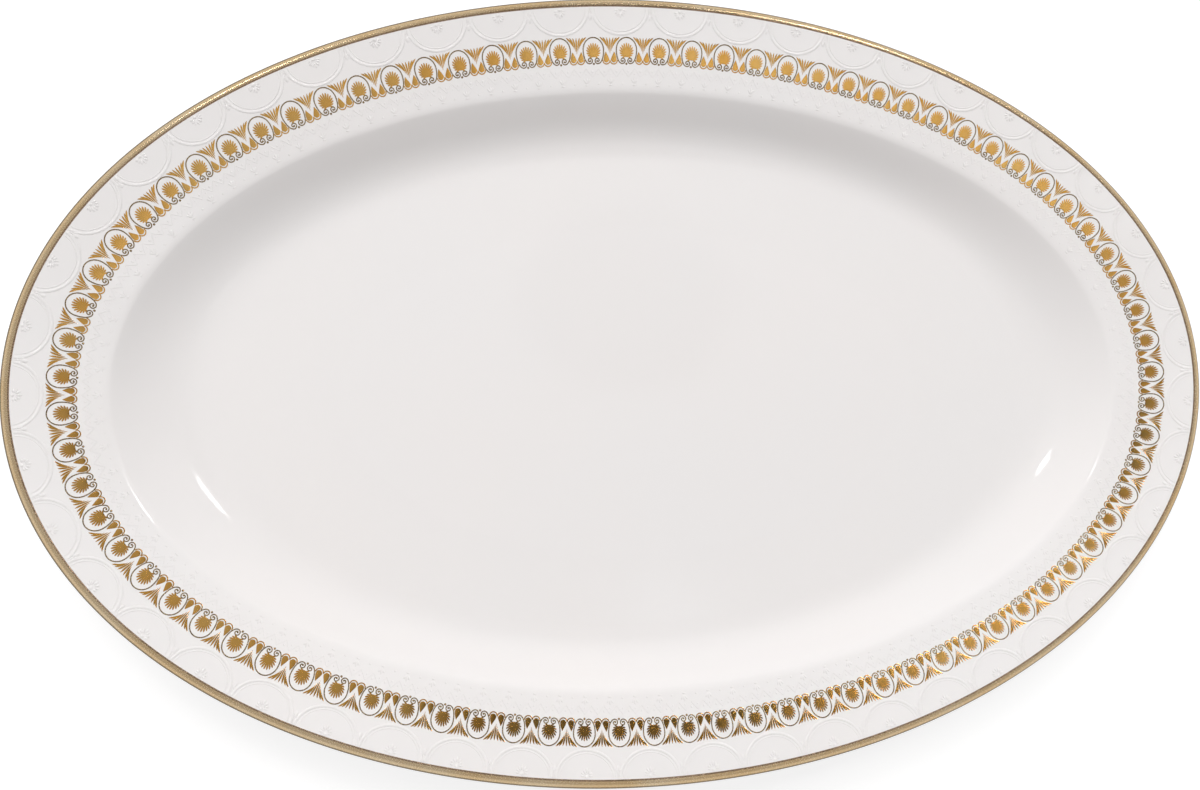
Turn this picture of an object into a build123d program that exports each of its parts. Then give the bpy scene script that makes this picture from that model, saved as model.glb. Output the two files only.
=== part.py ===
from build123d import *
import math
import os

# Oval china serving platter, millimetres, +Z up.  The origin is the centre of the foot ring's
# plane; X runs along the platter.  The fired pieces lie in layers: a porcelain body, the glaze
# melted over it, and gold fired on top of the glaze.

# ---- finished size ---------------------------------------------------------------------------
overall_length = 355.0
overall_width = 230.6
overall_height = 26.0

# ---- rim -------------------------------------------------------------------------------------
rim_thickness = 3.6
rim_slope = 14.5          # degrees that the flat flange falls towards the well
shoulder_inset = 26.4     # from the outer edge to the crease where the well begins
wall_start_slope = 42.0   # degrees, the steepest part of the well's wall, just inside the crease
wall_start_run = 5.6      # how far that steep part reaches before it curls out to the floor
wall_end_run = 11.0       # how far from the floor's edge the wall lies almost flat

# ---- well and foot ---------------------------------------------------------------------------
floor_inset_length = 50.7  # from the end of the platter to the edge of the flat floor
floor_inset_width = 43.8   # the same, from the long side
floor_thickness = 4.0
foot_height = 3.6
foot_overhang = 7.7        # from the floor's edge out to the foot ring's outer wall
foot_ring_width = 4.6
foot_draft = 0.5           # how much narrower the ring is at its tread, each side
foot_edge_radius = 0.6
foot_root_fillet = 1.4
underside_start_run = 7.0  # reach of the curve that leads the underside into the flange
underside_end_run = 3.0    # reach of the curve that leads it into the foot
underside_offset = 0.4     # from the crease outwards to where the underside turns down

# ---- glaze -----------------------------------------------------------------------------------
glaze_thickness = 0.2
glaze_line = 1.1           # height on the foot ring where the glaze was wiped away

# ---- gold ------------------------------------------------------------------------------------
gold_thickness = 0.06
lip_gold_under = 30.0      # degrees that the lip's gold wraps below the widest line
lip_gold_inset = 2.6       # from the outer edge to the inner edge of the lip's gold
frieze_inset = 15.0        # from the outer edge to the middle of the gold frieze
frieze_pitch = 10.1        # from one egg to the next
egg_half_width = 3.2
egg_half_height = 3.75
egg_line = 0.42            # width of the egg's outline
egg_opening = 31.0         # degrees each side of the inner end where the outline is open
palmette_reach = 3.0       # from the palmette's heart to the tip of its middle leaf
palmette_clearance = 0.5   # from its widest leaves to the egg's outline
palmette_heart = -1.35     # its heart, from the middle of the frieze
palmette_leaves = 9
palmette_spread = 200.0    # degrees between the outermost leaves
volute_radius = 0.5
volute_spread = 0.95       # from the middle of the egg to each volute's ball
volute_place = -2.5
bead_radius = 0.42
bead_place = -3.55
fan_heart = -0.35          # where the leaf fan between two eggs springs
fan_reach = 4.2
fan_leaves = 5
fan_spread = 58.0
comma_length = 2.2
comma_width = 0.75
comma_spread = 0.62        # from the middle of the gap to each comma leaf
comma_place = -2.35
comma_clearance = 0.49     # from the widest line of the egg to the comma leaf's tip, along the frieze
arch_radius = 0.62
arch_line = 0.26
arch_place = -3.55

half_length = overall_length / 2
half_width = overall_width / 2
line_weights = [1.0, 1.0]
cubic_weights = [1.0, 1.0, 1.0, 1.0]
round_weights = [1.0, math.sqrt(0.5), 1.0]

# ---- profile geometry ------------------------------------------------------------------------
# A station is (inset from the end, inset from the long side, height).  A chain is a list of
# Bezier segments that share their end stations; each segment is (stations, weights).


def same(inset, height):
    return (inset, inset, height)


def lip_arc(centre, radius, start, end):
    """A round segment about a centre, from one angle to another, 0 pointing outwards."""
    half = math.radians(end - start) / 2
    corner = radius / math.cos(half)
    stations = []
    for angle, reach in ((start, radius), ((start + end) / 2, corner), (end, radius)):
        turn = math.radians(angle)
        stations.append(same(centre[0] - reach * math.cos(turn), centre[1] + reach * math.sin(turn)))
    return stations, [1.0, math.cos(half), 1.0]


def shifted(chain, distance):
    """The chain moved sideways, to the right of its travel, with mitred corners."""
    polygon = chain[0][0] + [station for stations, _ in chain[1:] for station in stations[1:]]
    flat = [((x + y) / 2, z) for x, y, z in polygon]
    legs = []
    for (d0, z0), (d1, z1) in zip(flat, flat[1:]):
        reach = math.hypot(d1 - d0, z1 - z0)
        legs.append(((d1 - d0) / reach, (z1 - z0) / reach))
    legs = [legs[0]] + legs + [legs[-1]]
    moved = []
    for (x, y, z), before, after in zip(polygon, legs, legs[1:]):
        share = distance / (1 + before[0] * after[0] + before[1] * after[1])
        step_in = share * (before[1] + after[1])
        step_up = -share * (before[0] + after[0])
        moved.append((x + step_in, y + step_in, z + step_up))
    result = []
    first = 0
    for stations, weights in chain:
        last = first + len(stations) - 1
        result.append((moved[first:last + 1], weights))
        first = last
    return result


def first_station(chain):
    return chain[0][0][0]


def last_station(chain):
    return chain[-1][0][-1]


def joined(start, end):
    """A straight chain between two stations."""
    return [([start, end], line_weights)]


# ---- oval surfaces ---------------------------------------------------------------------------


def quarter_nets(station):
    """The control points of the four quarters of an oval ring at one station."""
    a = half_length - station[0]
    b = half_width - station[1]
    corners = [(1, 0), (1, 1), (0, 1), (-1, 1), (-1, 0), (-1, -1), (0, -1), (1, -1), (1, 0)]
    ring = [(a * x, b * y, station[2]) for x, y in corners]
    return [ring[first:first + 3] for first in (0, 2, 4, 6)]


def oval_skin(chain):
    """The faces swept by a chain around the oval, four to a segment."""
    faces = []
    for stations, weights in chain:
        nets = [quarter_nets(station) for station in stations]
        grid = [[w * v for v in round_weights] for w in weights]
        for quarter in range(4):
            faces.append(Face.make_bezier_surface([net[quarter] for net in nets], grid))
    return faces


def oval_wire(station):
    return Wire([Edge.make_bezier(*net, weights=round_weights) for net in quarter_nets(station)])


def oval_disc(station):
    """The flat face inside an oval ring."""
    return [Face(oval_wire(station))]


def oval_band(outer, inner):
    """The flat face between two oval rings at one height."""
    return [Face(oval_wire(outer), [oval_wire(inner)])]


def solid_of(faces):
    return Solid(Shell(faces))


# ---- finished profile, from the glaze line outside the foot, round the lip, to the floor ------

lip_radius = rim_thickness / 2
lip_centre = (lip_radius + gold_thickness, overall_height - lip_radius - gold_thickness)
slope = math.radians(rim_slope)
top_arc = lip_arc(lip_centre, lip_radius, lip_gold_under, 90 + rim_slope)
edge_arc = lip_arc(lip_centre, lip_radius, -lip_gold_under, lip_gold_under)
under_arc = lip_arc(lip_centre, lip_radius, -90 + rim_slope, -lip_gold_under)
rim_top = last_station([top_arc])
rim_under = first_station([under_arc])


def flange_height(inset):
    """Height of the flange's finished top face at an inset from the outer edge."""
    return rim_top[2] - (inset - rim_top[0]) * math.tan(slope)


def under_height(inset):
    return rim_under[2] - (inset - rim_under[0]) * math.tan(slope)


floor_height = foot_height + floor_thickness
crease = same(shoulder_inset, flange_height(shoulder_inset))
wall_start = same(shoulder_inset + wall_start_run,
                  crease[2] - wall_start_run * math.tan(math.radians(wall_start_slope)))
floor_edge = (floor_inset_length, floor_inset_width, floor_height)
wall_end = (floor_inset_length - wall_end_run, floor_inset_width - wall_end_run, floor_height)


def beside_floor(outwards, height):
    """A station on the oval that lies a fixed distance outside the floor's edge."""
    return (floor_inset_length - outwards, floor_inset_width - outwards, height)


foot_outer = beside_floor(foot_overhang, foot_height)
draft_per_height = foot_draft / foot_height
glaze_stop_outer = beside_floor(foot_overhang - draft_per_height * (foot_height - glaze_line),
                                glaze_line)
underside_inset = shoulder_inset - underside_offset
under_shoulder = same(underside_inset, under_height(underside_inset))
under_lead = same(underside_inset + underside_start_run,
                  under_height(underside_inset + underside_start_run))
foot_lead = beside_floor(foot_overhang + underside_end_run, foot_height)
gold_edge = same(lip_gold_inset, flange_height(lip_gold_inset))

outer_chain = (
    joined(glaze_stop_outer, foot_outer)
    + [([foot_outer, foot_lead, under_lead, under_shoulder], cubic_weights)]
    + joined(under_shoulder, rim_under)
    + [under_arc, edge_arc, top_arc]
    + joined(rim_top, gold_edge)
    + joined(gold_edge, crease)
    + [([crease, wall_start, wall_end, floor_edge], cubic_weights)]
)

# ---- the recess inside the foot ring, from its glaze line up and in to the flat underside ------

foot_inner = foot_overhang - foot_ring_width
glaze_stop_inner = beside_floor(foot_inner + draft_per_height * (foot_height - glaze_line), glaze_line)
root_start = beside_floor(foot_inner + draft_per_height * foot_root_fillet,
                          foot_height - foot_root_fillet)
root_corner = beside_floor(foot_inner, foot_height)
root_end = beside_floor(foot_inner - foot_root_fillet, foot_height)
recess_chain = (
    joined(glaze_stop_inner, root_start)
    + [([root_start, root_corner, root_end], round_weights)]
)

body_outer = shifted(outer_chain, glaze_thickness)
body_recess = shifted(recess_chain, -glaze_thickness)

# ---- the bare tread of the foot ring -----------------------------------------------------------

tread_outer = beside_floor(foot_overhang - foot_draft - glaze_thickness, 0)
tread_inner = beside_floor(foot_inner + foot_draft + glaze_thickness, 0)


def tread_edge(corner, across):
    """A rounded edge of the tread; across is +1 on the outer wall and -1 on the inner."""
    wall = (corner[0] - across * draft_per_height * foot_edge_radius,
            corner[1] - across * draft_per_height * foot_edge_radius, foot_edge_radius)
    tread = (corner[0] + across * foot_edge_radius, corner[1] + across * foot_edge_radius, 0)
    return wall, corner, tread


outer_wall, outer_corner, outer_tread = tread_edge(tread_outer, 1)
inner_wall, inner_corner, inner_tread = tread_edge(tread_inner, -1)
outer_tread_chain = (
    joined(first_station(body_outer), outer_wall)
    + [([outer_wall, outer_corner, outer_tread], round_weights)]
)
inner_tread_chain = (
    [([inner_tread, inner_corner, inner_wall], round_weights)]
    + joined(inner_wall, first_station(body_recess))
)


# ---- fired layers ------------------------------------------------------------------------------


def china_body():
    return solid_of(oval_skin(body_outer) + oval_disc(last_station(body_outer))
                    + oval_skin(outer_tread_chain) + oval_band(outer_tread, inner_tread)
                    + oval_skin(inner_tread_chain)
                    + oval_skin(body_recess) + oval_disc(last_station(body_recess)))


def skin_solid(outside, inside, closed):
    """A thin layer between two chains; closed means that it runs across the middle."""
    faces = oval_skin(outside) + oval_skin(inside)
    faces += oval_skin(joined(first_station(outside), first_station(inside)))
    if closed:
        faces += oval_disc(last_station(outside)) + oval_disc(last_station(inside))
    else:
        faces += oval_skin(joined(last_station(outside), last_station(inside)))
    return solid_of(faces)


def gold_lip_band():
    covered = [edge_arc, top_arc] + joined(rim_top, gold_edge)
    return skin_solid(shifted(covered, -gold_thickness), covered, False)


# ---- places along the frieze -------------------------------------------------------------------

frieze_a = half_length - frieze_inset
frieze_b = half_width - frieze_inset


def frieze_angles(count, offset):
    """Oval angles at equal steps of length along the middle of the frieze."""
    steps = 7200
    lengths = [0.0]
    for step in range(steps):
        turn = math.tau * (step + 0.5) / steps
        speed = math.hypot(frieze_a * math.sin(turn), frieze_b * math.cos(turn))
        lengths.append(lengths[-1] + speed * math.tau / steps)
    angles = []
    step = 0
    for place in range(count):
        target = lengths[-1] * (place + offset) / count
        while lengths[step + 1] < target:
            step += 1
        part = (target - lengths[step]) / (lengths[step + 1] - lengths[step])
        angles.append(math.tau * (step + part) / steps)
    return angles, lengths[-1]


frieze_count = round(frieze_angles(1, 0)[1] / frieze_pitch)


def foil_seat(angle, reach):
    """The flange's tangent plane at an oval angle, Y towards the rim.

    The flange is hollow along its length, so a flat foil is lifted until its two ends rest on
    the glaze; reach is its half width.
    """
    along = Vector(frieze_a * math.sin(angle), -frieze_b * math.cos(angle), 0)
    outward = Vector(math.cos(angle), math.sin(angle), math.tan(slope))
    normal = along.cross(outward).normalized()
    bend = frieze_a * frieze_b / along.length ** 3
    lift = reach ** 2 * bend * math.sin(slope) / 2
    place = Vector(frieze_a * math.cos(angle), frieze_b * math.sin(angle), flange_height(frieze_inset))
    return Plane(origin=place + normal * lift, x_dir=along, z_dir=normal)


def laid(face, offset, reach):
    """Copies of a foil along the frieze; offset 0 is on an egg and 0.5 is between two."""
    foil = extrude(face, amount=gold_thickness)
    angles = frieze_angles(frieze_count, offset)[0]
    return [foil_seat(angle, reach) * piece for angle in angles for piece in foil.solids()]


# ---- shapes of the gold, X along the frieze and Y towards the rim --------------------------------


def oval_point(half_x, half_y, degrees):
    turn = math.radians(degrees)
    return (half_x * math.cos(turn), half_y * math.sin(turn))


def egg_ring():
    """The egg's outline, round towards the rim and open at its inner end."""
    start = -90 + egg_opening
    turn = 360 - 2 * egg_opening
    outside = EllipticalCenterArc((0, 0), egg_half_width, egg_half_height, start, arc_size=turn)
    inner_x = egg_half_width - egg_line
    inner_y = egg_half_height - egg_line
    inside = EllipticalCenterArc((0, 0), inner_x, inner_y, start, arc_size=turn)
    return make_face([outside, Line(outside @ 1, inside @ 1), inside, Line(inside @ 0, outside @ 0)])


def leaf_star(heart, reach, leaves, spread, waist, shortest, side_reach=None):
    """A fan of pointed leaves; waist is how deep the notches go, shortest the outer leaves' share.

    A side reach, if there is one, is how far the widest leaves come to each side.
    """
    points = []
    step = spread / (leaves - 1)
    for leaf in range(leaves):
        side = abs(2 * leaf / (leaves - 1) - 1)
        angle = 90 + spread / 2 - leaf * step
        tip = reach * (1 - (1 - shortest) * side ** 2)
        x, y = oval_point(tip, tip, angle)
        points.append((x, heart + y))
        if leaf < leaves - 1:
            x, y = oval_point(waist * tip, waist * tip, angle - step / 2)
            points.append((x, heart + y))
    if side_reach:
        widest = max(x for x, _ in points)
        points = [(x * side_reach / widest, y) for x, y in points]
    return make_face(Polyline(*points, (0, heart - waist * reach * 0.3), close=True))


def palmette():
    side_reach = egg_half_width - egg_line - palmette_clearance
    return leaf_star(palmette_heart, palmette_reach, palmette_leaves, palmette_spread, 0.55, 0.62,
                     side_reach)


def teardrop(length, width):
    """A comma leaf: round at its inner end and drawn to a point towards the rim."""
    radius = width / 2
    tangent = math.degrees(math.acos(radius / (length - radius)))
    left = oval_point(radius, radius, 90 + tangent)
    right = oval_point(radius, radius, 90 - tangent)
    belly = ThreePointArc(left, (0, -radius), right)
    tip = (0, length - radius)
    return make_face([belly, Line(right, tip), Line(tip, left)])


def comma_pair():
    """Two comma leaves that lean out to the eggs, as far as the gap between the eggs lets them."""
    tip = frieze_pitch / 2 - egg_half_width - comma_clearance
    lean = math.degrees(math.asin((tip - comma_spread) / (comma_length - comma_width / 2)))
    places = [Pos(side * comma_spread, comma_place) * Rot(0, 0, -side * lean) for side in (-1, 1)]
    return [place * teardrop(comma_length, comma_width) for place in places]


def arch_pair():
    """Two small arches side by side that share their middle leg."""
    inner = arch_radius - arch_line
    centre = arch_radius - arch_line / 2
    base = arch_place
    outside = [CenterArc((side * centre, base), arch_radius, 0, 180) for side in (-1, 1)]
    halves = [make_face([arc, Line(arc @ 1, arc @ 0)]) for arc in outside]
    holes = [make_face([arc, Line(arc @ 1, arc @ 0)])
             for arc in (CenterArc((side * centre, base), inner, 0, 180) for side in (-1, 1))]
    return (halves[0] + halves[1]) - holes[0] - holes[1]


def egg_balls():
    places = [(-volute_spread, volute_place), (volute_spread, volute_place)]
    return [Pos(x, y) * Circle(volute_radius) for x, y in places]


nodes = {
    "china_body": [china_body()],
    "upper_glaze": [skin_solid(outer_chain, body_outer, True)],
    "foot_recess_glaze": [skin_solid(recess_chain, body_recess, True)],
    "gold_lip_band": [gold_lip_band()],
    "gold_egg_rings": laid(egg_ring(), 0, egg_half_width),
    "gold_palmettes": laid(palmette(), 0, palmette_reach),
    "gold_volutes": [solid for ball in egg_balls() for solid in laid(ball, 0, egg_half_width)],
    "gold_egg_beads": laid(Pos(0, bead_place) * Circle(bead_radius), 0, egg_half_width),
    "gold_leaf_fans": laid(leaf_star(fan_heart, fan_reach, fan_leaves, fan_spread, 0.5, 0.86),
                           0.5, fan_reach),
    "gold_comma_leaves": [solid for leaf in comma_pair() for solid in laid(leaf, 0.5, comma_length)],
    "gold_arches": laid(arch_pair(), 0.5, 2 * arch_radius),
}

os.makedirs("parts", exist_ok=True)
for name, solids in nodes.items():
    shape = solids[0] if len(solids) == 1 else Compound(solids)
    export_step(shape, f"parts/{name}.step")
    print(name, len(solids), round(sum(solid.volume for solid in solids), 3))
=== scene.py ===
import bmesh
import bpy
import math
from mathutils import Matrix, Vector


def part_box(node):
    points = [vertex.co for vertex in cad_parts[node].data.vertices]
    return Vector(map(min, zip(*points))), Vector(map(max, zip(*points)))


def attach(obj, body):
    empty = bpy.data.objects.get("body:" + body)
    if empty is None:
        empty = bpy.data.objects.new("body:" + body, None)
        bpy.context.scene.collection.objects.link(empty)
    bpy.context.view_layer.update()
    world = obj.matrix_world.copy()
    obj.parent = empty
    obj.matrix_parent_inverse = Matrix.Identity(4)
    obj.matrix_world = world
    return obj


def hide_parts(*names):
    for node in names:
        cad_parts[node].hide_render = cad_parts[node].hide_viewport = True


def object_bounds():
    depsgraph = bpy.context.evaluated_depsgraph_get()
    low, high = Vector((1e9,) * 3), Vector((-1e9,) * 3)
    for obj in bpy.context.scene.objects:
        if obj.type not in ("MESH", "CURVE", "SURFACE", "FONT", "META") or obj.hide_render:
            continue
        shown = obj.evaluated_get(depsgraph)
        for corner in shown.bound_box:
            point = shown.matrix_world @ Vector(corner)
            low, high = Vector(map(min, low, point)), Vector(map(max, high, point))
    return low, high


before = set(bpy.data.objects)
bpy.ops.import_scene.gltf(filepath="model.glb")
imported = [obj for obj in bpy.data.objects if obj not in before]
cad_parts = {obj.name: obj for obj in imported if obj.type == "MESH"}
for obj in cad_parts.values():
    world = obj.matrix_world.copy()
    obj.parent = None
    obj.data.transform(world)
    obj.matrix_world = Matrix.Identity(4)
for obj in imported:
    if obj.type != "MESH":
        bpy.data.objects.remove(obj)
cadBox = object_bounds()
mm = 0.001
print("frame loaded", [round(side / mm, 1) for side in cadBox[1] - cadBox[0]])

# Section of the platter. A station is (inset from the end, inset from the long side, height).
# Every length below is in millimetres, and meshes are scaled to metres when they are made.

section = {
    "rimThickness": 3.6,
    "rimSlope": 14.5,  # degrees
    "shoulderInset": 26.4,
    "creaseRounding": 1.6,
    "wallStartSlope": 42.0,  # degrees
    "wallStartRun": 5.6,
    "wallEndRun": 11.0,
    "floorInsetLength": 50.7,
    "floorInsetWidth": 43.8,
    "floorThickness": 4.0,
    "footHeight": 3.6,
    "footOverhang": 7.7,
    "footRingWidth": 4.6,
    "footDraft": 0.5,
    "footEdgeRadius": 0.6,
    "footRootFillet": 1.4,
    "undersideStartRun": 7.0,
    "undersideEndRun": 3.0,
    "undersideInset": 26.0,
    "glazeThickness": 0.2,
    "glazeLine": 1.1,
    "goldThickness": 0.06,
    "lipGoldUnder": 30.0,  # degrees below the widest line
    "lipGoldInset": 2.6,
    # Section of the dark line at the gold's inner edge, a painted dark reflection where the lip turns in to
    # the flange: (beyond the gold's inset, above the flange).
    "lipDarkReflection": ((-0.3, 0.05), (-0.2, 0.085), (0.1, 0.07), (0.16, 0.0), (0.1, -0.03), (-0.3, -0.03)),
    "spokes": 600,
    "arcSteps": 9,
    "curveSteps": 24,
}

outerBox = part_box("gold_lip_band")
hair = 0.001  # kept inside the CAD's box
halfLength, halfWidth, fullHeight = (min(sides) / mm - hair for sides in zip(outerBox[1], cadBox[1]))
floorHeight = section["footHeight"] + section["floorThickness"]
lipRadius = section["rimThickness"] / 2
lipCentre = (lipRadius + section["goldThickness"], fullHeight - lipRadius - section["goldThickness"])
fall = math.tan(math.radians(section["rimSlope"]))
pole = (halfLength, halfWidth)


def lipPoint(angle):
    turn = math.radians(angle)
    return lipCentre[0] - lipRadius * math.cos(turn), lipCentre[1] + lipRadius * math.sin(turn)


rimTop = lipPoint(90 + section["rimSlope"])
rimUnder = lipPoint(section["rimSlope"] - 90)


def flangeHeight(inset):
    return rimTop[1] - (inset - rimTop[0]) * fall


def same(inset, height):
    return inset, inset, height


def besideFloor(outwards, height):
    return section["floorInsetLength"] - outwards, section["floorInsetWidth"] - outwards, height


# A station at the edge's height, with a share of the edge's distance left to the platter's middle.
def towardsMiddle(edge, left):
    x, y, height = edge
    return pole[0] - (pole[0] - x) * left, pole[1] - (pole[1] - y) * left, height


# The points of a Bezier curve after its first one.
def bezier(stations, steps):
    found = []
    degree = len(stations) - 1
    for step in range(1, steps + 1):
        t = step / steps
        shares = [math.comb(degree, k) * t ** k * (1 - t) ** (degree - k) for k in range(degree + 1)]
        found.append(tuple(sum(share * s[axis] for share, s in zip(shares, stations)) for axis in range(3)))
    return found


def lipArc(start, end):
    steps = section["arcSteps"]
    return [same(*lipPoint(start + (end - start) * step / steps)) for step in range(steps + 1)]


# The glazed outside, from the glaze line on the foot, round the lip, to the floor's middle.
def outerLine():
    s = section
    draft = s["footDraft"] / s["footHeight"] * (s["footHeight"] - s["glazeLine"])
    underEnd = rimUnder[1] - (s["undersideInset"] - rimUnder[0]) * fall
    lead = s["undersideInset"] + s["undersideStartRun"]
    underside = [besideFloor(s["footOverhang"], s["footHeight"]),
                 besideFloor(s["footOverhang"] + s["undersideEndRun"], s["footHeight"]),
                 same(lead, underEnd - s["undersideStartRun"] * fall),
                 same(s["undersideInset"], underEnd)]
    line = [besideFloor(s["footOverhang"] - draft, s["glazeLine"]), underside[0]]
    line += bezier(underside, s["curveSteps"])
    line += lipArc(s["rimSlope"] - 90, -s["lipGoldUnder"])
    line += lipArc(-s["lipGoldUnder"], 90 + s["rimSlope"])[1:]
    line.append(same(s["lipGoldInset"], flangeHeight(s["lipGoldInset"])))
    crease = same(s["shoulderInset"], flangeHeight(s["shoulderInset"]))
    steep = math.tan(math.radians(s["wallStartSlope"]))
    wall = [crease, same(s["shoulderInset"] + s["wallStartRun"], crease[2] - s["wallStartRun"] * steep),
            (s["floorInsetLength"] - s["wallEndRun"], s["floorInsetWidth"] - s["wallEndRun"], floorHeight),
            (s["floorInsetLength"], s["floorInsetWidth"], floorHeight)]
    before = same(s["shoulderInset"] - s["creaseRounding"],
                  flangeHeight(s["shoulderInset"] - s["creaseRounding"]))
    descent = bezier(wall, s["curveSteps"])
    line.append(before)
    line += bezier([before, crease, descent[0]], 6)
    line += descent[1:]
    edge = line[-1]
    for share in (0.7, 0.4, 0.15):  # rings on the flat floor
        line.append(towardsMiddle(edge, share))
    line.append((*pole, floorHeight))
    return line


# The glazed recess inside the foot ring, from its glaze line to the middle.
def recessLine():
    s = section
    inside = s["footOverhang"] - s["footRingWidth"]
    draft = s["footDraft"] / s["footHeight"]
    root = [besideFloor(inside + draft * s["footRootFillet"], s["footHeight"] - s["footRootFillet"]),
            besideFloor(inside, s["footHeight"]),
            besideFloor(inside - s["footRootFillet"], s["footHeight"])]
    line = [besideFloor(inside + draft * (s["footHeight"] - s["glazeLine"]), s["glazeLine"]), root[0]]
    line += bezier(root, 6)
    edge = line[-1]
    line.append(towardsMiddle(edge, 0.5))
    line.append((*pole, s["footHeight"]))
    return line


# The bare tread of the foot ring, between the ends of the two glazes.
def treadLine(start, end):
    s = section
    out = s["footOverhang"] - s["footDraft"] - s["glazeThickness"]
    inn = s["footOverhang"] - s["footRingWidth"] + s["footDraft"] + s["glazeThickness"]
    r = s["footEdgeRadius"]
    outerRound = [besideFloor(out, r), besideFloor(out, 0), besideFloor(out - r, 0)]
    innerRound = [besideFloor(inn + r, 0), besideFloor(inn, 0), besideFloor(inn, r)]
    return ([start, outerRound[0]] + bezier(outerRound, 5) + [innerRound[0]]
            + bezier(innerRound, 5) + [end])


# The line moved sideways, to the right of its travel, with mitred corners.
def shifted(line, distance):
    flat = [((x + y) / 2, z) for x, y, z in line]
    legs = []
    for (d0, z0), (d1, z1) in zip(flat, flat[1:]):
        reach = math.hypot(d1 - d0, z1 - z0) or 1.0
        legs.append(((d1 - d0) / reach, (z1 - z0) / reach))
    legs = [legs[0]] + legs + [legs[-1]]
    moved = []
    for (x, y, z), before, after in zip(line, legs, legs[1:]):
        share = distance / max(0.3, 1 + before[0] * after[0] + before[1] * after[1])
        inwards = share * (before[1] + after[1])
        isPole = x >= pole[0] - 1e-6
        moved.append((x + (0 if isPole else inwards), y + (0 if isPole else inwards),
                      z - share * (before[0] + after[0])))
    return moved


def meshFromParts(name, points, faces, finish, sharpAngle):
    mesh = bpy.data.meshes.new(name)
    mesh.from_pydata([[c * mm for c in p] for p in points], [], faces)
    work = bmesh.new()
    work.from_mesh(mesh)
    bmesh.ops.recalc_face_normals(work, faces=work.faces)
    work.to_mesh(mesh)
    work.free()
    mesh.polygons.foreach_set("use_smooth", [True] * len(mesh.polygons))
    mesh.set_sharp_from_angle(angle=math.radians(sharpAngle))
    mesh.materials.append(finish)
    return mesh


# A piece turned around the oval from a line; a closed line's end joins its start.
def ovalPiece(name, line, closed, finish, sharpAngle=50):
    spokes = section["spokes"]
    points, rings = [], []
    for x, y, z in line:
        a, b = halfLength - x, halfWidth - y
        count = 1 if a < 1e-6 else spokes
        rings.append(list(range(len(points), len(points) + count)))
        for spoke in range(count):
            turn = math.tau * spoke / spokes
            points.append((a * math.cos(turn), b * math.sin(turn), z))
    faces = []
    pairs = list(zip(rings, rings[1:])) + ([(rings[-1], rings[0])] if closed else [])
    for first, second in pairs:
        if len(first) == 1 and len(second) == 1:
            continue
        for spoke in range(spokes):
            after = (spoke + 1) % spokes
            if len(second) == 1:
                faces.append((first[spoke], first[after], second[0]))
            elif len(first) == 1:
                faces.append((first[0], second[after], second[spoke]))
            else:
                faces.append((first[spoke], first[after], second[after], second[spoke]))
    piece = bpy.data.objects.new(name, meshFromParts(name, points, faces, finish, sharpAngle))
    bpy.context.scene.collection.objects.link(piece)
    return piece


# Finishes

# A node with its settings, and its inputs set to values or linked to other sockets.
def addNode(tree, kind, values=None, **settings):
    node = tree.nodes.new(kind)
    for key, value in settings.items():
        setattr(node, key, value)
    for key, value in (values or {}).items():
        if isinstance(value, bpy.types.NodeSocket):
            tree.links.new(value, node.inputs[key])
        else:
            node.inputs[key].default_value = value
    return node


def newMaterial(name):
    material = bpy.data.materials.new(name)
    material.use_nodes = True
    tree = material.node_tree
    shader = tree.nodes["Principled BSDF"]
    coordinates = addNode(tree, "ShaderNodeTexCoord").outputs["Object"]
    return material, tree, shader, coordinates


def noise(tree, coordinates, scale, detail=2.0, roughness=0.5):
    return addNode(tree, "ShaderNodeTexNoise", {"Vector": coordinates, "Scale": scale, "Detail": detail,
                                                "Roughness": roughness}).outputs["Fac"]


# A noise value between fromLow and fromHigh stretched to run from low to high.
def spread(tree, factor, low, high, fromLow=0.3, fromHigh=0.7):
    values = {0: factor, 1: fromLow, 2: fromHigh, 3: low, 4: high}
    return addNode(tree, "ShaderNodeMapRange", values).outputs[0]


def roughen(tree, shader, height, strength, distance):
    bump = addNode(tree, "ShaderNodeBump", {"Strength": strength, "Distance": distance, "Height": height})
    tree.links.new(bump.outputs[0], shader.inputs["Normal"])


def blendColours(tree, factor, first, second):
    node = addNode(tree, "ShaderNodeMix", {"Factor": factor}, data_type="RGBA")
    for key, value in (("A", first), ("B", second)):
        socket = [s for s in node.inputs if s.name == key and s.type == "RGBA"][0]
        if isinstance(value, bpy.types.NodeSocket):
            tree.links.new(value, socket)
        else:
            socket.default_value = value
    return [s for s in node.outputs if s.type == "RGBA"][0]


glazeLook = {
    "colour": (0.84, 0.812, 0.802, 1),
    "colourCool": (0.83, 0.81, 0.805, 1),
    "roughness": (0.05, 0.11),
    "clouding": 14.0,  # per metre
    "ripple": 45.0,
    "rippleDepth": 0.05,
    "pinholes": 900.0,
    "pinholeShare": 0.02,  # of the ripple's height
}


def glazedChina():
    material, tree, shader, coordinates = newMaterial("glazedChina")
    look = glazeLook
    clouds = noise(tree, coordinates, look["clouding"], 3)
    tint = blendColours(tree, spread(tree, clouds, 0, 1), look["colour"], look["colourCool"])
    tree.links.new(tint, shader.inputs["Base Color"])
    rough = spread(tree, noise(tree, coordinates, look["ripple"] * 2), *look["roughness"])
    tree.links.new(rough, shader.inputs["Roughness"])
    shader.inputs["IOR"].default_value = 1.5
    ripple = noise(tree, coordinates, look["ripple"], 1)
    skin = noise(tree, coordinates, look["pinholes"], 1)
    height = addNode(tree, "ShaderNodeMath", {0: skin, 1: look["pinholeShare"], 2: ripple},
                     operation="MULTIPLY_ADD").outputs[0]
    roughen(tree, shader, height, look["rippleDepth"], 0.002)
    return material


biscuitLook = {
    "colour": (0.70, 0.665, 0.61, 1),
    "dust": (0.60, 0.55, 0.48, 1),
    "grain": 2600.0,  # per metre
    "grainDepth": 0.35,
}


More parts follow.
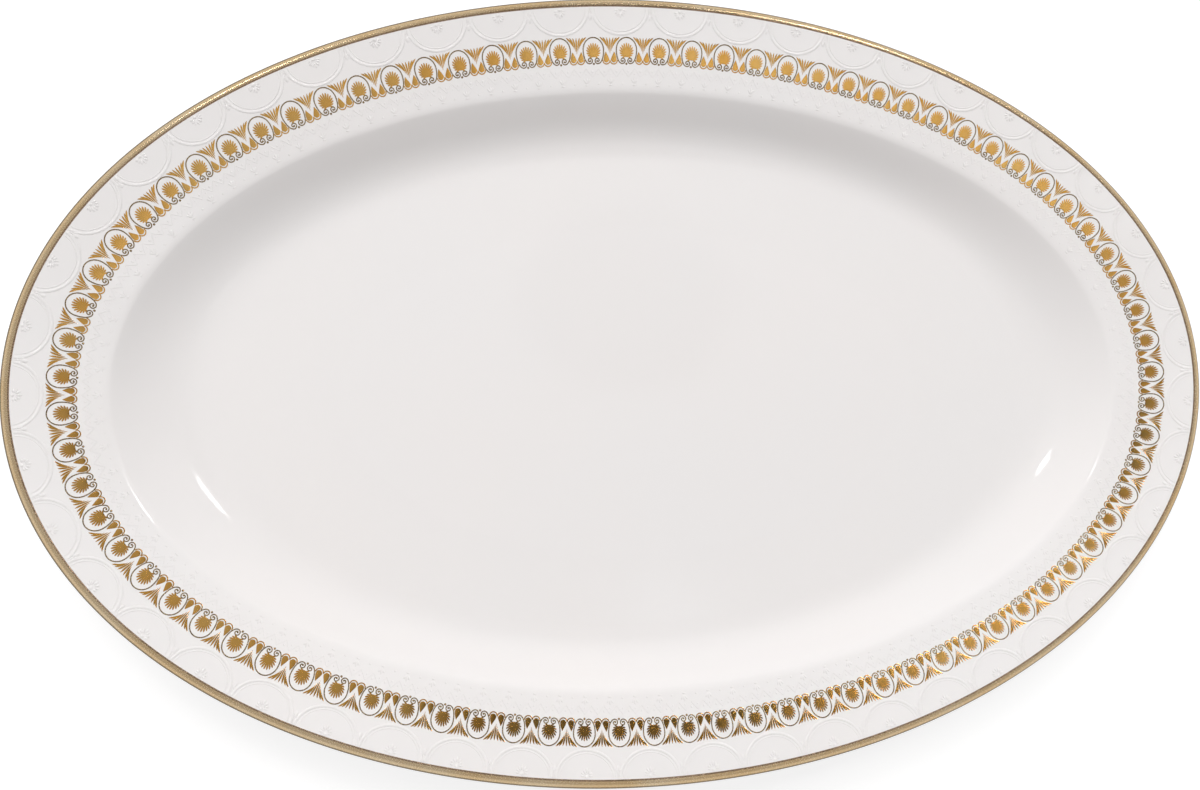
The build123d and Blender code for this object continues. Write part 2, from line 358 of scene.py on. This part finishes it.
def bareChina():
    material, tree, shader, coordinates = newMaterial("bareChina")
    look = biscuitLook
    grain = noise(tree, coordinates, look["grain"], 4, 0.7)
    tint = blendColours(tree, spread(tree, grain, 0, 1, 0.45, 0.8), look["colour"], look["dust"])
    tree.links.new(tint, shader.inputs["Base Color"])
    tree.links.new(spread(tree, grain, 0.75, 0.95), shader.inputs["Roughness"])
    roughen(tree, shader, grain, look["grainDepth"], 0.0001)
    return material


goldLook = {
    # Two colours, and the least and most roughness.
    "lip": ((0.88, 0.64, 0.36, 1), (0.92, 0.73, 0.48, 1), (0.16, 0.3)),
    # The edge colours are dark on purpose: they paint the dark reflection at the lip gold's inner edge.
    "edge": ((0.40, 0.27, 0.17, 1), (0.48, 0.34, 0.23, 1), (0.2, 0.32)),
    "solid": ((0.92, 0.50, 0.12, 1), (0.95, 0.58, 0.18, 1), (0.12, 0.22)),
    "line": ((0.39, 0.27, 0.14, 1), (0.47, 0.35, 0.19, 1), (0.2, 0.32)),
    "patches": 60.0,  # per metre
    "brushing": 4000.0,
    "brushingDepth": 0.025,
}


def firedGold(kind):
    material, tree, shader, coordinates = newMaterial(kind + "Gold")
    look = goldLook
    first, second, roughness = look[kind]
    patches = noise(tree, coordinates, look["patches"], 3)
    tint = blendColours(tree, spread(tree, patches, 0, 1, 0.35, 0.65), first, second)
    tree.links.new(tint, shader.inputs["Base Color"])
    shader.inputs["Metallic"].default_value = 1.0
    fine = noise(tree, coordinates, look["brushing"], 2, 0.6)
    tree.links.new(spread(tree, fine, *roughness), shader.inputs["Roughness"])
    roughen(tree, shader, fine, look["brushingDepth"], 0.00002)
    return material


glaze = glazedChina()
biscuit = bareChina()
lipGold, solidGold, lineGold, darkReflectionGold = [firedGold(kind) for kind in ("lip", "solid", "line", "edge")]
print("finishes made")

# China, glazes and the gold on the lip

outside = outerLine()
recess = recessLine()
innerSkin = shifted(outside, section["glazeThickness"])
innerRecess = shifted(recess, -section["glazeThickness"])

body = ovalPiece("chinaBody", innerSkin[::-1] + treadLine(innerSkin[0], innerRecess[0])[1:-1] + innerRecess,
                 False, biscuit)
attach(body, "root")
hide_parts("china_body")

upperGlaze = ovalPiece("upperGlaze", outside + innerSkin[::-1], True, glaze)
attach(upperGlaze, "root")
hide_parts("upper_glaze")

recessGlaze = ovalPiece("recessGlaze", recess + innerRecess[::-1], True, glaze)
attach(recessGlaze, "root")
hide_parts("foot_recess_glaze")

covered = lipArc(-section["lipGoldUnder"], 90 + section["rimSlope"])
covered.append(same(section["lipGoldInset"], flangeHeight(section["lipGoldInset"])))
lipBand = ovalPiece("goldLipBand", shifted(covered, -section["goldThickness"]) + covered[::-1], True, lipGold)
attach(lipBand, "root")
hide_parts("gold_lip_band")

# A thin dark ring at the lip gold's inner edge, which paints the dark reflection there.
lineInsets = [(section["lipGoldInset"] + beyond, rise) for beyond, rise in section["lipDarkReflection"]]
lipReflectionRing = ovalPiece("goldLipLine", [same(inset, flangeHeight(inset) + rise) for inset, rise in lineInsets],
                     True, darkReflectionGold)
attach(lipReflectionRing, "root")
print("china, glazes and lip gold made")

# Ornament is drawn flat, X along the rim and Y towards its edge, then laid on the sloping flange.


def newDrawing():
    return {"points": [], "faces": []}


# A raised line along a path; the profile gives (share across, height) from side to side.
def stroke(drawing, path, widths, profile):
    points, faces = drawing["points"], drawing["faces"]
    rings = []
    last = len(path) - 1
    for index, (x, y) in enumerate(path):
        before, after = path[max(index - 1, 0)], path[min(index + 1, last)]
        along = Vector((after[0] - before[0], after[1] - before[1])).normalized()
        half = widths[index] / 2
        rings.append(list(range(len(points), len(points) + len(profile))))
        points += [(x - along.y * half * share, y + along.x * half * share, height)
                   for share, height in profile]
    for first, second in zip(rings, rings[1:]):
        for side in range(len(profile)):
            other = (side + 1) % len(profile)
            faces.append((first[side], first[other], second[other], second[side]))
    faces.append(tuple(rings[0][::-1]))
    faces.append(tuple(rings[-1]))


# A plate that rises from its outline to its heart, with a flat underside.
def fan(drawing, heart, outline, crown, edge, base):
    points, faces = drawing["points"], drawing["faces"]
    count = len(outline)
    first = len(points)
    points += [(x, y, edge) for x, y in outline] + [(x, y, base) for x, y in outline]
    points += [(*heart, crown), (*heart, base)]
    for index in range(count):
        other = (index + 1) % count
        faces.append((first + index, first + other, first + 2 * count))
        faces.append((first + count + other, first + count + index, first + 2 * count + 1))
        faces.append((first + index, first + count + index, first + count + other, first + other))


# A drop or bead: an oval dome, turned by an angle in degrees.
def dome(drawing, centre, reach, width, angle, height, base, sides=8):
    points, faces = drawing["points"], drawing["faces"]
    turn = math.radians(angle)
    rings = []
    for share, level in ((1.0, base), (0.92, height * 0.35), (0.6, height * 0.82)):
        rings.append(list(range(len(points), len(points) + sides)))
        for side in range(sides):
            around = math.tau * side / sides
            x, y = reach * share * math.cos(around), width * share * math.sin(around)
            points.append((centre[0] + x * math.cos(turn) - y * math.sin(turn),
                           centre[1] + x * math.sin(turn) + y * math.cos(turn), level))
    points.append((*centre, height))
    for first, second in zip(rings, rings[1:]):
        for side in range(sides):
            other = (side + 1) % sides
            faces.append((first[side], first[other], second[other], second[side]))
    top = len(points) - 1
    faces += [(rings[-1][side], rings[-1][(side + 1) % sides], top) for side in range(sides)]
    faces.append(tuple(rings[0][::-1]))


def curvePath(controls, steps):
    path = [(x, y, 0) for x, y in controls]
    return [controls[0]] + [point[:2] for point in bezier(path, steps)]


def ovalPath(centre, across, along, start, end, steps):
    path = []
    for step in range(steps + 1):
        turn = math.radians(start + (end - start) * step / steps)
        path.append((centre[0] + across * math.cos(turn), centre[1] + along * math.sin(turn)))
    return path


# Widths along a stroke that swell from the start share to the widest and fall to the end share.
def tapered(count, widest, start, end, peak):
    widths = []
    for index in range(count):
        t = index / (count - 1)
        share = t / peak if t < peak else (1 - t) / (1 - peak)
        low = start if t < peak else end
        widths.append(widest * (low + (1 - low) * math.sin(math.pi / 2 * share)))
    return widths


def mirrored(path):
    return [(-x, y) for x, y in path]


# Heights above the glaze; each base is sunk a little, so that no gap shows.
foilTop, foilEdge, foilBase = 0.056, 0.048, -0.02
foil = [(-1, foilBase), (-1, foilEdge), (-0.5, foilTop), (0.5, foilTop), (1, foilEdge), (1, foilBase)]
reliefBase = -0.1


def swollen(height):
    shoulder = height * 0.75
    return [(-1, reliefBase), (-0.9, 0.0), (-0.55, shoulder), (0, height), (0.55, shoulder), (0.9, 0.0),
            (1, reliefBase)]


frieze = {
    "eggs": 83,
    "inset": 15.0,
    "eggAcross": 3.1,
    "eggWidestAt": 0.2,
    "eggRimEnd": 3.8,
    "line": 0.32,
    "shoulder": (2.45, -1.9),  # across, and along the egg's side
    "volutePlace": (1.2, -2.85),
    "voluteRadius": (0.95, 0.22),  # where it leaves the egg and at its ball
    "voluteTurn": 400.0,  # degrees
    "ball": 0.3,
    "bead": 0.36,
    "beadPlace": -3.85,
    "palmetteOval": (2.2, 2.4),
    "palmetteMiddle": -0.1,
    "palmetteHeart": -1.3,
    "palmetteTail": 0.6,
    "palmetteHeights": (0.06, 0.045),  # at its heart and at its edge
    "palmetteLeaves": 15,
    "palmetteSpread": 315.0,  # degrees
    "palmetteLeaf": ((-0.5, 0.56), (-0.41, 0.75), (-0.32, 0.87), (-0.16, 0.97), (0, 1.0), (0.16, 0.97),
                     (0.32, 0.87), (0.41, 0.75)),  # share of a leaf's turn, share of its reach
    # Leaves of one side of the fan, from the middle one out.
    "fanTips": ((0, 3.75), (1.05, 3.75), (2.05, 3.8), (3.0, 3.9)),
    "fanElbows": ((0, 1.5), (0.45, 1.95), (1.0, 2.35), (1.62, 2.8)),
    "fanStart": (0.36, -0.9, 0.75),  # sideways for each leaf, the middle one's start, further for each leaf
    "fanLeafWidth": 0.48,
    "fanLeafTaper": (0.12, 0.15, 0.72),  # share of the width at its start and end, and where it is widest
    "commaPath": ((1.28, -0.35), (1.34, -2.2), (0.88, -3.42)),
    "commaWidth": 1.75,
    "commaTaper": (0.05, 0.2, 0.76),
    "archPlace": (1.12, -2.85),
    "archRadius": 1.09,
}


# An egg's outline, whose two ends curl in as volutes, with a ball in each and a bead between.
def eggRing():
    f = frieze
    drawing = newDrawing()
    across, widestAt = f["eggAcross"], f["eggWidestAt"]
    x, y = f["volutePlace"]
    first, last = f["voluteRadius"]
    half = ovalPath((0, widestAt), across, f["eggRimEnd"] - widestAt, 90, 0, 16)
    half += curvePath([(across, widestAt), (across, f["shoulder"][1]), (f["shoulder"][0], y - first),
                       (x, y - first)], 12)[1:]
    steps = 24
    for step in range(1, steps + 1):
        radius = first + (last - first) * step / steps
        turn = math.radians(-90 - f["voluteTurn"] * step / steps)
        half.append((x + radius * math.cos(turn), y + radius * math.sin(turn)))
    whole = mirrored(half)[::-1] + half[1:]
    stroke(drawing, whole, [f["line"]] * len(whole), foil)
    for side in (-1, 1):
        dome(drawing, (side * half[-1][0], half[-1][1]), f["ball"], f["ball"], 0, foilTop, foilBase)
    dome(drawing, (0, f["beadPlace"]), f["bead"], f["bead"], 0, foilTop, foilBase)
    return drawing


# A burst of leaves from a heart near the egg's inner end.
def palmette():
    f = frieze
    drawing = newDrawing()
    heart = f["palmetteHeart"]
    step = f["palmetteSpread"] / f["palmetteLeaves"]
    outline = []
    for leaf in range(f["palmetteLeaves"]):
        middle = 90 + (leaf - (f["palmetteLeaves"] - 1) / 2) * step
        for offset, share in f["palmetteLeaf"]:
            turn = math.radians(middle + offset * step)
            tip = (f["palmetteOval"][0] * math.cos(turn),
                   f["palmetteMiddle"] + f["palmetteOval"][1] * math.sin(turn))
            outline.append((tip[0] * share, heart + (tip[1] - heart) * share))
    outline.append((-outline[0][0], outline[0][1]))
    outline.append((0, heart - f["palmetteTail"]))
    fan(drawing, (0, heart), outline, f["palmetteHeights"][0], f["palmetteHeights"][1], foilBase)
    return drawing


# Slender leaves that fill the space between two eggs at the rim's side.
def leafFan():
    f = frieze
    drawing = newDrawing()
    sideways, start, further = f["fanStart"]
    for index, (tip, elbow) in enumerate(zip(f["fanTips"], f["fanElbows"])):
        path = curvePath([(sideways * index, start + further * index), elbow, tip], 9)
        widths = tapered(len(path), f["fanLeafWidth"], *f["fanLeafTaper"])
        stroke(drawing, path, widths, foil)
        if index:
            stroke(drawing, mirrored(path), widths, foil)
    return drawing


# Two comma leaves under two small arches, at the inner side between two eggs.
def commaPair():
    f = frieze
    drawing = newDrawing()
    path = curvePath(f["commaPath"], 18)
    widths = tapered(len(path), f["commaWidth"], *f["commaTaper"])
    arch = ovalPath(f["archPlace"], f["archRadius"], f["archRadius"], 8, -180, 16)
    for turned in (lambda line: line, mirrored):
        stroke(drawing, turned(path), widths, foil)
        stroke(drawing, turned(arch), [f["line"]] * len(arch), foil)
    return drawing


swags = {
    "count": 49,
    "inset": 6.9,
    "halfSpan": 8.5,
    "depth": 7.6,
    "top": 3.9,
    "cordWidth": 1.05,
    "cordPinch": 0.72,  # share of the width between two beads
    "cordHeight": 0.13,
    "cordBeads": 26,
    "innerGap": (0.95, 0.85),  # from the cord to the line inside it, at its ends and at its middle
    "innerWidth": 0.3,
    "innerHeight": 0.09,
    "rays": 7,
    "rayTurn": 28,  # degrees from one ray to the next
    "rayHeart": 0.5,  # below the top
    "raySpread": 1.2,  # from the heart to a ray's middle, in reaches
    "rayShare": 0.62,  # a ray's half length, in reaches
    "rayReach": 1.15,
    "rayWidth": 0.34,
    "rayHeight": 0.18,
    "eye": (0.55, 0.5, 0.2),  # half length, half width and height
    "eyeDrop": 0.35,  # below the top
}


# A beaded cord hung in a half oval, with a thin line inside it and a burst of rays at its top.
def swag():
    s = swags
    drawing = newDrawing()
    steps = s["cordBeads"] * 2
    path = ovalPath((0, s["top"]), s["halfSpan"], s["depth"], 180, 360, steps)
    beads = [s["cordWidth"] * (1.0 if index % 2 else s["cordPinch"]) for index in range(steps + 1)]
    stroke(drawing, path, beads, swollen(s["cordHeight"]))
    innerSpan, innerDepth = s["halfSpan"] - s["innerGap"][0], s["depth"] - s["innerGap"][1]
    inner = ovalPath((0, s["top"]), innerSpan, innerDepth, 180, 360, 36)
    stroke(drawing, inner, [s["innerWidth"]] * len(inner), swollen(s["innerHeight"]))
    for ray in range(s["rays"]):
        fromMiddle = ray - (s["rays"] - 1) / 2
        angle = -90 + fromMiddle * s["rayTurn"]
        turn = math.radians(angle)
        reach = s["rayReach"] * (1.15 - 0.1 * abs(fromMiddle))  # the outer rays are shorter
        place = (s["raySpread"] * math.cos(turn) * reach,
                 s["top"] - s["rayHeart"] + s["raySpread"] * math.sin(turn) * reach)
        dome(drawing, place, reach * s["rayShare"], s["rayWidth"], angle, s["rayHeight"], reliefBase)
    eyeLength, eyeWidth, eyeHeight = s["eye"]
    dome(drawing, (0, s["top"] - s["eyeDrop"]), eyeLength, eyeWidth, 0, eyeHeight, reliefBase)
    return drawing


buds = {
    "stem": (3.9, 2.0),  # where it starts and ends
    "stemWidths": (0.42, 0.34),
    "stemHeight": 0.12,
    "bud": (1.25, 0.95, 0.5, 0.2),  # place along, half length, half width, height
    # Each pair of leaves: place across and along, half length, half width, lean in degrees, height.
    "leaves": ((0.62, 1.75, 0.62, 0.28, 32, 0.15), (0.5, 3.2, 0.5, 0.26, -35, 0.14)),
}


# A bud on a stem that hangs between two swags.
def swagBud():
    b = buds
    drawing = newDrawing()
    stroke(drawing, [(0, y) for y in b["stem"]], b["stemWidths"], swollen(b["stemHeight"]))
    y, length, width, height = b["bud"]
    dome(drawing, (0, y), length, width, 90, height, reliefBase)
    for side in (-1, 1):
        for x, y, length, width, lean, height in b["leaves"]:
            dome(drawing, (side * x, y), length, width, 90 + side * lean, height, reliefBase)
    return drawing


lace = {
    "count": 108,
    "inset": 22.7,
    "pitch": 7.32,
    "height": 0.14,
    "petals": ((90, 1.15), (128, 0.95), (52, 0.95)),  # turn in degrees, half length
    "petalWidth": 0.36,
    "petalRing": (0.72, 0.95),  # oval that the petals' middles stand on
    "flowerPlace": -1.7,
    "latticeRows": (2.85, 0.35),
    "latticeWidth": 0.3,
    "latticeHeight": 0.08,
    # Smaller drops: place across in pitches and along, half length, half width, turn, share of the height.
    "drops": ((0, -2.1, 0.62, 0.26, 0, 1.0), (0.5, -1.75, 0.34, 0.34, 0, 0.8),
              (-0.25, 1.9, 0.42, 0.3, 90, 0.8), (-0.5, 1.15, 0.3, 0.24, 90, 0.7),
              (0.25, 1.9, 0.42, 0.3, 90, 0.8), (0, 1.15, 0.3, 0.24, 90, 0.7)),
    "dropSides": 6,
}


# One flower of the inner border with the lattice above it.
def laceCell():
    c = lace
    drawing = newDrawing()
    across, along = c["petalRing"]
    for angle, reach in c["petals"]:
        turn = math.radians(angle)
        place = (across * math.cos(turn), c["flowerPlace"] + along * math.sin(turn))
        dome(drawing, place, reach, c["petalWidth"], angle, c["height"], reliefBase, c["dropSides"])
    for x, y, length, width, turn, share in c["drops"]:
        height = c["height"] * share
        dome(drawing, (x * c["pitch"], y), length, width, turn, height, reliefBase, c["dropSides"])
    quarter = c["pitch"] / 4
    top, bottom = c["latticeRows"]
    slat = [(-1, reliefBase), (-0.5, c["latticeHeight"]), (0.5, c["latticeHeight"]), (1, reliefBase)]
    for start in (-2 * quarter, 0):
        zigzag = [(start, top), (start + quarter, bottom), (start + 2 * quarter, top)]
        for path in (zigzag[:2], zigzag[1:]):
            stroke(drawing, path, [c["latticeWidth"]] * 2, slat)
    return drawing


# Geometry Nodes that set a drawing out along the oval and lay it on the flange

def rimTree():
    tree = bpy.data.node_groups.new("layAlongRim", "GeometryNodeTree")
    sockets = (("Motif", "NodeSocketObject"), ("Count", "NodeSocketInt"), ("Phase", "NodeSocketFloat"),
               ("Half Length", "NodeSocketFloat"), ("Half Width", "NodeSocketFloat"),
               ("Height", "NodeSocketFloat"), ("Rise", "NodeSocketFloat"), ("Finish", "NodeSocketMaterial"))
    tree.interface.new_socket("Geometry", in_out="OUTPUT", socket_type="NodeSocketGeometry")
    for label, kind in sockets:
        tree.interface.new_socket(label, in_out="INPUT", socket_type=kind)
    given = addNode(tree, "NodeGroupInput").outputs

    def maths(operation, *values):
        return addNode(tree, "ShaderNodeMath", dict(enumerate(values)), operation=operation).outputs[0]

    def vectors(operation, *values):
        node = addNode(tree, "ShaderNodeVectorMath", dict(enumerate(values)), operation=operation)
        return node.outputs["Value" if operation == "DOT_PRODUCT" else "Vector"]

    def scaled(vector, factor):
        node = addNode(tree, "ShaderNodeVectorMath", {0: vector, "Scale": factor}, operation="SCALE")
        return node.outputs["Vector"]

    circle = addNode(tree, "GeometryNodeCurvePrimitiveCircle", {"Resolution": 1440, "Radius": 1.0},
                     mode="RADIUS").outputs["Curve"]
    sizes = addNode(tree, "ShaderNodeCombineXYZ", {0: given["Half Length"], 1: given["Half Width"], 2: 1.0})
    oval = addNode(tree, "GeometryNodeTransform", {"Geometry": circle, "Scale": sizes.outputs[0]})
    length = addNode(tree, "GeometryNodeCurveLength", {"Curve": oval.outputs[0]}).outputs["Length"]
    pitch = maths("DIVIDE", length, given["Count"])
    step = addNode(tree, "ShaderNodeCombineXYZ", {0: pitch}).outputs[0]
    first = addNode(tree, "ShaderNodeCombineXYZ", {0: maths("MULTIPLY", pitch, given["Phase"])}).outputs[0]
    places = addNode(tree, "GeometryNodeMeshLine", {"Count": given["Count"], "Start Location": first,
                                                    "Offset": step}, mode="OFFSET")
    motif = addNode(tree, "GeometryNodeObjectInfo", {"Object": given["Motif"]}).outputs["Geometry"]
    copies = addNode(tree, "GeometryNodeInstanceOnPoints", {"Points": places.outputs["Mesh"],
                                                            "Instance": motif}).outputs[0]
    strip = addNode(tree, "GeometryNodeRealizeInstances", {0: copies}).outputs[0]
    flat = addNode(tree, "ShaderNodeSeparateXYZ", {0: addNode(tree, "GeometryNodeInputPosition").outputs[0]})
    travel = maths("FLOORED_MODULO", maths("SUBTRACT", length, flat.outputs[0]), length)
    found = addNode(tree, "GeometryNodeSampleCurve", {"Curves": oval.outputs[0], "Length": travel},
                    mode="LENGTH", use_all_curves=True)
    outward = vectors("NORMALIZE", vectors("CROSS_PRODUCT", found.outputs["Tangent"], (0.0, 0.0, 1.0)))
    shrunk = vectors("DIVIDE", found.outputs["Position"], sizes.outputs[0])
    slant = maths("DIVIDE", given["Rise"], vectors("DOT_PRODUCT", shrunk, outward))
    climb = addNode(tree, "ShaderNodeCombineXYZ", {2: slant}).outputs[0]
    upSlope = vectors("NORMALIZE", vectors("ADD", outward, climb))
    upright = vectors("NORMALIZE", vectors("SUBTRACT", (0.0, 0.0, 1.0), scaled(outward, slant)))
    level = addNode(tree, "ShaderNodeCombineXYZ", {2: given["Height"]}).outputs[0]
    start = vectors("ADD", found.outputs["Position"], level)
    place = vectors("ADD", vectors("ADD", start, scaled(upSlope, flat.outputs[1])),
                    scaled(upright, flat.outputs[2]))
    laid = addNode(tree, "GeometryNodeSetPosition", {"Geometry": strip, "Position": place}).outputs[0]
    done = addNode(tree, "GeometryNodeSetMaterial", {"Geometry": laid, "Material": given["Finish"]})
    addNode(tree, "NodeGroupOutput", {0: done.outputs[0]})
    return tree


layAlongRim = rimTree()


# The drawing repeated around the oval, as one plain mesh that follows the flange.
def laidOnRim(name, drawing, count, phase, inset, finish, sharpAngle=40):
    motif = bpy.data.objects.new(name + "Motif", meshFromParts(name + "Motif", drawing["points"],
                                                               drawing["faces"], finish, sharpAngle))
    host = bpy.data.objects.new(name + "Host", bpy.data.meshes.new(name + "Host"))
    for thing in (motif, host):
        bpy.context.scene.collection.objects.link(thing)
    modifier = host.modifiers.new("layAlongRim", "NODES")
    modifier.node_group = layAlongRim
    values = {"Motif": motif, "Count": count, "Phase": phase, "Half Length": (halfLength - inset) * mm,
              "Half Width": (halfWidth - inset) * mm, "Height": flangeHeight(inset) * mm, "Rise": fall,
              "Finish": finish}
    for item in layAlongRim.interface.items_tree:
        if item.in_out == "INPUT":
            modifier[item.identifier] = values[item.name]
    scene = bpy.context.scene
    scene.view_layers[0].update()
    seen = host.evaluated_get(bpy.context.evaluated_depsgraph_get())
    mesh = bpy.data.meshes.new_from_object(seen)
    mesh.name = name
    host.modifiers.clear()
    piece = bpy.data.objects.new(name, mesh)
    scene.collection.objects.link(piece)
    bpy.data.objects.remove(host)
    bpy.data.objects.remove(motif)
    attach(piece, "root")
    print(name, len(mesh.polygons), "faces")
    return piece


eggs = laidOnRim("goldEggRings", eggRing(), frieze["eggs"], 0.0, frieze["inset"], lineGold)
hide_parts("gold_egg_rings", "gold_volutes", "gold_egg_beads")
palmettes = laidOnRim("goldPalmettes", palmette(), frieze["eggs"], 0.0, frieze["inset"], solidGold)
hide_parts("gold_palmettes")
fans = laidOnRim("goldLeafFans", leafFan(), frieze["eggs"], 0.5, frieze["inset"], solidGold)
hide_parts("gold_leaf_fans")
commas = laidOnRim("goldCommaLeaves", commaPair(), frieze["eggs"], 0.5, frieze["inset"], solidGold)
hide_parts("gold_comma_leaves", "gold_arches")
print("gold frieze laid")

for name, drawing, count, phase, inset in (
        ("swagRelief", swag(), swags["count"], 0.5, swags["inset"]),
        ("budRelief", swagBud(), swags["count"], 0.0, swags["inset"]),
        ("laceRelief", laceCell(), lace["count"], 0.0, lace["inset"])):
    relief = laidOnRim(name, drawing, count, phase, inset, glaze)
print("relief laid")

# Floor, light and camera

studio = {
    "floorHalf": 25.0,
    "floorColours": ((0.5, 0.5, 0.5, 1), (0.52, 0.52, 0.52, 1)),
    "floorGlow": 0.62,
    "world": (1.0, 0.99, 0.985, 1),
    # Strength from straight below, at 0, over the horizon, at 0.5, to straight above, at 1.
    "skyStrength": ((0.0, 0.5), (0.46, 0.6), (0.5, 1.0), (0.53, 1.0), (0.575, 0.65), (0.8, 0.65),
                    (0.925, 0.42), (1.0, 0.42)),
    "keyDirection": (-0.17, 0.6, 0.78),
    "keyDistance": 1.8,
    "keySize": 1.4,
    "keyPower": 20.0,
    "flashPlace": (0.95, -0.53, 4.2),
    "flashSize": 0.42,
    "flashRadiance": 0.6,
    "lampDirections": ((0.367, 0.385, 0.847), (-0.229, 0.498, 0.837)),
    "lampDistance": 2.0,
    "lampRadiance": 16.0,
    "lampSize": 0.17,
    # Cards that only reflections show: place, half sizes and brightness.
    "cards": {
        "darkCard": ((0.155, 0.16, 0.8), (0.11, 0.09), 0.01),
        "darkGround": ((0, 0, -0.05), (8, 8), 0.16),
    },
}


# A pale glowing floor that reflections don't show, and that is clear from underneath.
def makeFloor():
    half = studio["floorHalf"]
    corners = [(-half, -half, 0), (half, -half, 0), (half, half, 0), (-half, half, 0)]
    mesh = bpy.data.meshes.new("floor")
    mesh.from_pydata(corners, [], [(0, 1, 2, 3)])
    material, tree, shader, coordinates = newMaterial("paleFloor")
    grain = noise(tree, coordinates, 60, 2)
    tint = blendColours(tree, grain, *studio["floorColours"])
    tree.links.new(tint, shader.inputs["Base Color"])
    shader.inputs["Roughness"].default_value = 0.9
    shader.inputs["Emission Color"].default_value = (1, 1, 1, 1)
    shader.inputs["Emission Strength"].default_value = studio["floorGlow"]
    fromBelow = addNode(tree, "ShaderNodeNewGeometry").outputs["Backfacing"]
    clear = addNode(tree, "ShaderNodeBsdfTransparent").outputs[0]
    surface = addNode(tree, "ShaderNodeMixShader", {0: fromBelow, 1: shader.outputs[0], 2: clear})
    tree.links.new(surface.outputs[0], tree.nodes["Material Output"].inputs["Surface"])
    mesh.materials.append(material)
    floor = bpy.data.objects.new("floor", mesh)
    floor.visible_glossy = False
    floor.visible_diffuse = False
    bpy.context.scene.collection.objects.link(floor)


# A square soft box that looks at the platter; its place and side are in metres.
def addLamp(name, place, side, power, mirrored=True):
    data = bpy.data.lights.new(name, "AREA")
    data.shape = "SQUARE"
    data.size = side
    data.energy = power
    lamp = bpy.data.objects.new(name, data)
    lamp.location = place
    lamp.rotation_mode = "QUATERNION"
    lamp.rotation_quaternion = (-Vector(place)).to_track_quat("-Z", "Y")
    lamp.visible_glossy = mirrored
    bpy.context.scene.collection.objects.link(lamp)


# An oval card that shows only as a reflection: one is beside the camera, and one is the dim ground.
def addCard(name, place, reach, shade):
    outline = [(x, y, 0) for x, y in ovalPath((0, 0), *reach, 0, 360, 48)[:-1]]
    mesh = bpy.data.meshes.new(name)
    mesh.from_pydata(outline, [], [tuple(range(len(outline)))])
    material, tree, shader, coordinates = newMaterial(name)
    glow = spread(tree, noise(tree, coordinates, 30), shade, shade * 1.3)
    shader.inputs["Base Color"].default_value = (0, 0, 0, 1)
    shader.inputs["Emission Color"].default_value = (1, 1, 1, 1)
    tree.links.new(glow, shader.inputs["Emission Strength"])
    mesh.materials.append(material)
    card = bpy.data.objects.new(name, mesh)
    card.location = place
    for ray in ("camera", "diffuse", "transmission", "volume_scatter", "shadow"):
        setattr(card, "visible_" + ray, False)
    bpy.context.scene.collection.objects.link(card)


# A bright band around the horizon, with a dimmer ceiling above it.
def makeWorld():
    world = bpy.data.worlds.new("studio")
    world.use_nodes = True
    tree = world.node_tree
    shader = tree.nodes["Background"]
    direction = addNode(tree, "ShaderNodeTexCoord").outputs["Generated"]
    height = addNode(tree, "ShaderNodeSeparateXYZ", {0: direction}).outputs[2]
    share = addNode(tree, "ShaderNodeMath", {0: height, 1: 0.5, 2: 0.5}, operation="MULTIPLY_ADD").outputs[0]
    strength = addNode(tree, "ShaderNodeValToRGB", {0: share})
    ramp = strength.color_ramp.elements
    while len(ramp) < len(studio["skyStrength"]):
        ramp.new(0.5)
    for element, (place, value) in zip(ramp, studio["skyStrength"]):
        element.position = place
        element.color = (value, value, value, 1)
    shader.inputs["Color"].default_value = studio["world"]
    tree.links.new(strength.outputs[0], shader.inputs["Strength"])
    bpy.context.scene.world = world


makeFloor()
makeWorld()
keyPlace = Vector(studio["keyDirection"]) * studio["keyDistance"]
addLamp("key", keyPlace, studio["keySize"], studio["keyPower"], mirrored=False)
for index, direction in enumerate(studio["lampDirections"]):
    power = studio["lampRadiance"] * math.pi * studio["lampSize"] ** 2
    addLamp(f"lamp{index}", Vector(direction) * studio["lampDistance"], studio["lampSize"], power)
flashPower = studio["flashRadiance"] * math.pi * studio["flashSize"] ** 2
addLamp("flash", studio["flashPlace"], studio["flashSize"], flashPower)
for name, (place, reach, shade) in studio["cards"].items():
    addCard(name, place, reach, shade)

view = {
    "place": (-0.4131, -0.1883, 1.9249),  # in half lengths, from the middle of the lip's plane
    "aim": (-0.0833, -0.0197, 0.0),
    "roll": -2.16,  # degrees
    "lens": 36.0,
}


def makeCamera():
    data = bpy.data.cameras.new("camera")
    data.lens = view["lens"]
    data.sensor_width = 36.0
    camera = bpy.data.objects.new("camera", data)
    middle = Vector((0, 0, lipCentre[1] * mm))
    place = middle + Vector(view["place"]) * halfLength * mm
    aim = middle + Vector(view["aim"]) * halfLength * mm
    back = (place - aim).normalized()
    right = Vector((0, 1, 0)).cross(back).normalized()
    up = back.cross(right)
    turn = Matrix((right, up, back)).transposed() @ Matrix.Rotation(math.radians(view["roll"]), 3, "Z")
    camera.matrix_world = Matrix.Translation(place) @ turn.to_4x4()
    bpy.context.scene.collection.objects.link(camera)
    bpy.context.scene.camera = camera


makeCamera()
bpy.context.scene.view_settings.view_transform = "Standard"
print("scene ready")
